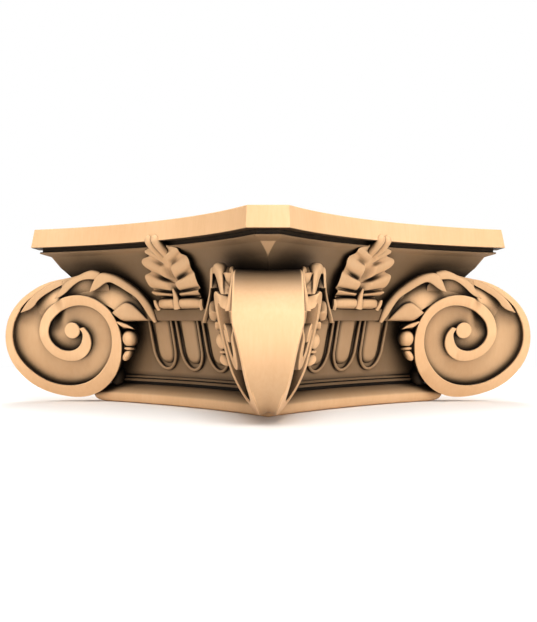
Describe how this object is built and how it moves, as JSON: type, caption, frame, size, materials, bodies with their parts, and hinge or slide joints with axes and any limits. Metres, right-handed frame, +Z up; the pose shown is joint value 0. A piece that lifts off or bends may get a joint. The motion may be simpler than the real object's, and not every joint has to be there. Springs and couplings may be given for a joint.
{
  "type": "ionic column capital",
  "caption": "Carved wooden capital with diagonal scrolls, acanthus leaves and tongues under a hollow-sided abacus, for the head of a square post or pilaster.",
  "frame": {"origin": "middle of the underside of the bottom moulding, on the vertical axis of the capital", "axes": "+Z up towards the abacus; X and Y face two neighbouring sides, and the four scrolls point along the diagonals between them"},
  "size_m": [0.3986, 0.3986, 0.1694],
  "materials": {
    "carved_wood": "smooth carved light tan hardwood with a satin finish, darker in the hollows"
  },
  "bodies": {
    "root": {"capital": "carved_wood"}
  },
  "joints": []
}
